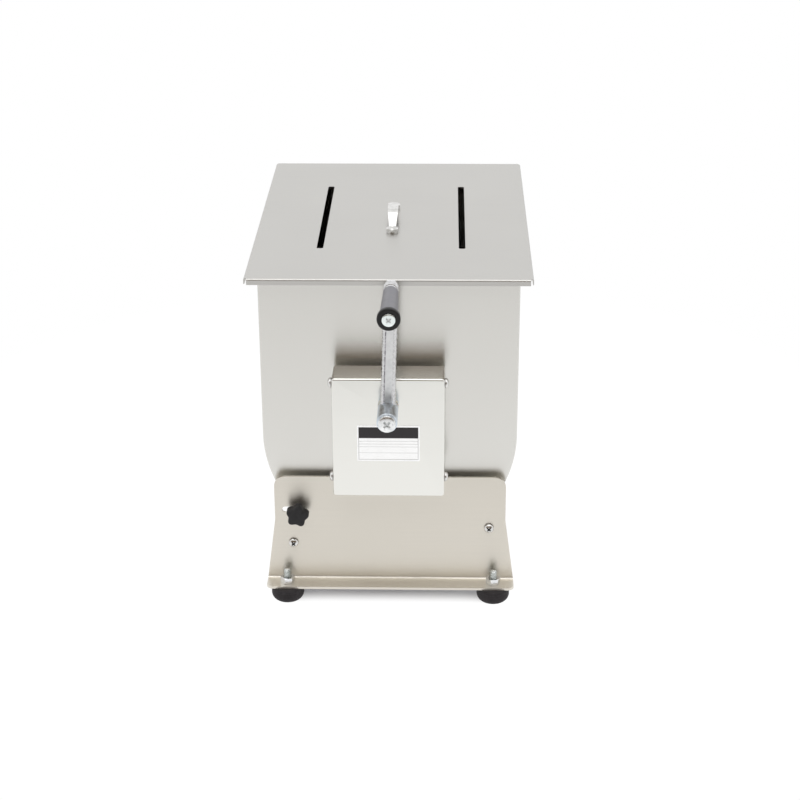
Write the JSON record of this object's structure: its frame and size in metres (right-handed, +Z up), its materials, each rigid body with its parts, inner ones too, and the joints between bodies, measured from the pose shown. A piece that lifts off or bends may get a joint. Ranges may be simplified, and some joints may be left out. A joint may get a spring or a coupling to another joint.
{
  "type": "meat mixer",
  "caption": "Hand-cranked meat mixer: tilting U-shaped stainless tank with slotted lid, paddle shaft, gear pair under a cover, crank with grip, clamp knob and a plate stand on rubber feet.",
  "frame": {"origin": "on the floor, under the middle of the overall box", "axes": "+X to the operator's right, +Y from the crank to the back, +Z up; the crank is at -Y"},
  "size_m": [0.28, 0.5306, 0.363],
  "materials": {
    "stainless_sheet": "brushed stainless sheet",
    "stainless_turned": "turned stainless bar",
    "bright_screws": "bright polished steel",
    "zinc_plate": "bright zinc plating",
    "gear_steel": "oiled cut steel",
    "foot_rubber": "moulded black rubber",
    "black_plastic": "moulded black plastic, fine grain",
    "grip_plastic": "moulded dark grey plastic, satin",
    "white_nylon": "machined nylon",
    "label_film": "blank printed film, white with a plain black band"
  },
  "bodies": {
    "stand": {"front_stand_plate": "stainless_sheet", "rear_stand_plate": "stainless_sheet", "left_tie_rod": "stainless_turned", "right_tie_rod": "stainless_turned", "tie_rod_screws": "bright_screws", "rubber_feet": "foot_rubber", "foot_studs": "zinc_plate", "foot_nuts": "zinc_plate", "left_cover_bracket": "stainless_sheet", "right_cover_bracket": "stainless_sheet", "gear_cover": "stainless_sheet", "gear_cover_screws": "bright_screws", "blank_label": "label_film", "front_trunnion_bush": "white_nylon", "rear_trunnion_bush": "white_nylon", "crank_rear_bush": "white_nylon", "crank_front_bush": "white_nylon", "lock_nut": "zinc_plate"},
    "tank": {"tank_trough": "stainless_sheet", "tank_front_wall": "stainless_sheet", "tank_rear_wall": "stainless_sheet", "front_trunnion": "stainless_turned", "rear_trunnion": "stainless_turned", "front_shaft_bush": "white_nylon", "rear_shaft_bush": "white_nylon", "front_shaft_seal": "foot_rubber", "rear_shaft_seal": "foot_rubber"},
    "lid": {"lid_panel": "stainless_sheet", "lid_handle": "bright_screws", "lid_handle_screws": "bright_screws", "lid_handle_nuts": "bright_screws"},
    "mixing_shaft": {"paddle_shaft": "stainless_turned", "paddle_arms": "stainless_turned", "paddle_blades": "stainless_turned", "driven_gear": "gear_steel", "gear_key": "gear_steel", "shaft_washers": "zinc_plate", "shaft_nuts": "zinc_plate"},
    "crank": {"crank_shaft": "stainless_turned", "pinion_gear": "gear_steel", "pinion_pin": "gear_steel", "crank_circlip": "gear_steel", "crank_hub": "zinc_plate", "hub_screw": "zinc_plate", "crank_arm": "zinc_plate", "grip_bolt": "zinc_plate", "grip_spacer": "zinc_plate", "grip_nut": "zinc_plate"},
    "grip": {"crank_grip": "grip_plastic"},
    "lock_knob": {"star_knob": "black_plastic", "lock_stud": "zinc_plate"}
  },
  "joints": [
    {"name": "tank_tilt", "type": "hinge", "parent": "stand", "child": "tank", "pos_m": [0, 0.04815, 0.1767], "axis": [0, -1, 0], "range_deg": [0, 77]},
    {"name": "lid_lift", "type": "slide", "parent": "tank", "child": "lid", "axis": [0, 0, 1], "range_m": [0, 0.15]},
    {"name": "shaft_spin", "type": "hinge", "parent": "stand", "child": "mixing_shaft", "pos_m": [0, 0.04815, 0.1767], "axis": [0, -1, 0], "continuous": true},
    {"name": "crank_spin", "type": "hinge", "parent": "stand", "child": "crank", "pos_m": [0, 0.04815, 0.2277], "axis": [0, -1, 0], "continuous": true},
    {"name": "grip_spin", "type": "hinge", "parent": "crank", "child": "grip", "pos_m": [0.0038, 0.04815, 0.35214], "axis": [0, -1, 0], "continuous": true},
    {"name": "knob_turn", "type": "hinge", "parent": "stand", "child": "lock_knob", "pos_m": [-0.0933, 0.04815, 0.09701], "axis": [0, -1, 0], "range_deg": [0, 720]}
  ],
  "couplings": [
    {"joint": "crank_spin", "follows": "shaft_spin", "ratio": -2}
  ]
}
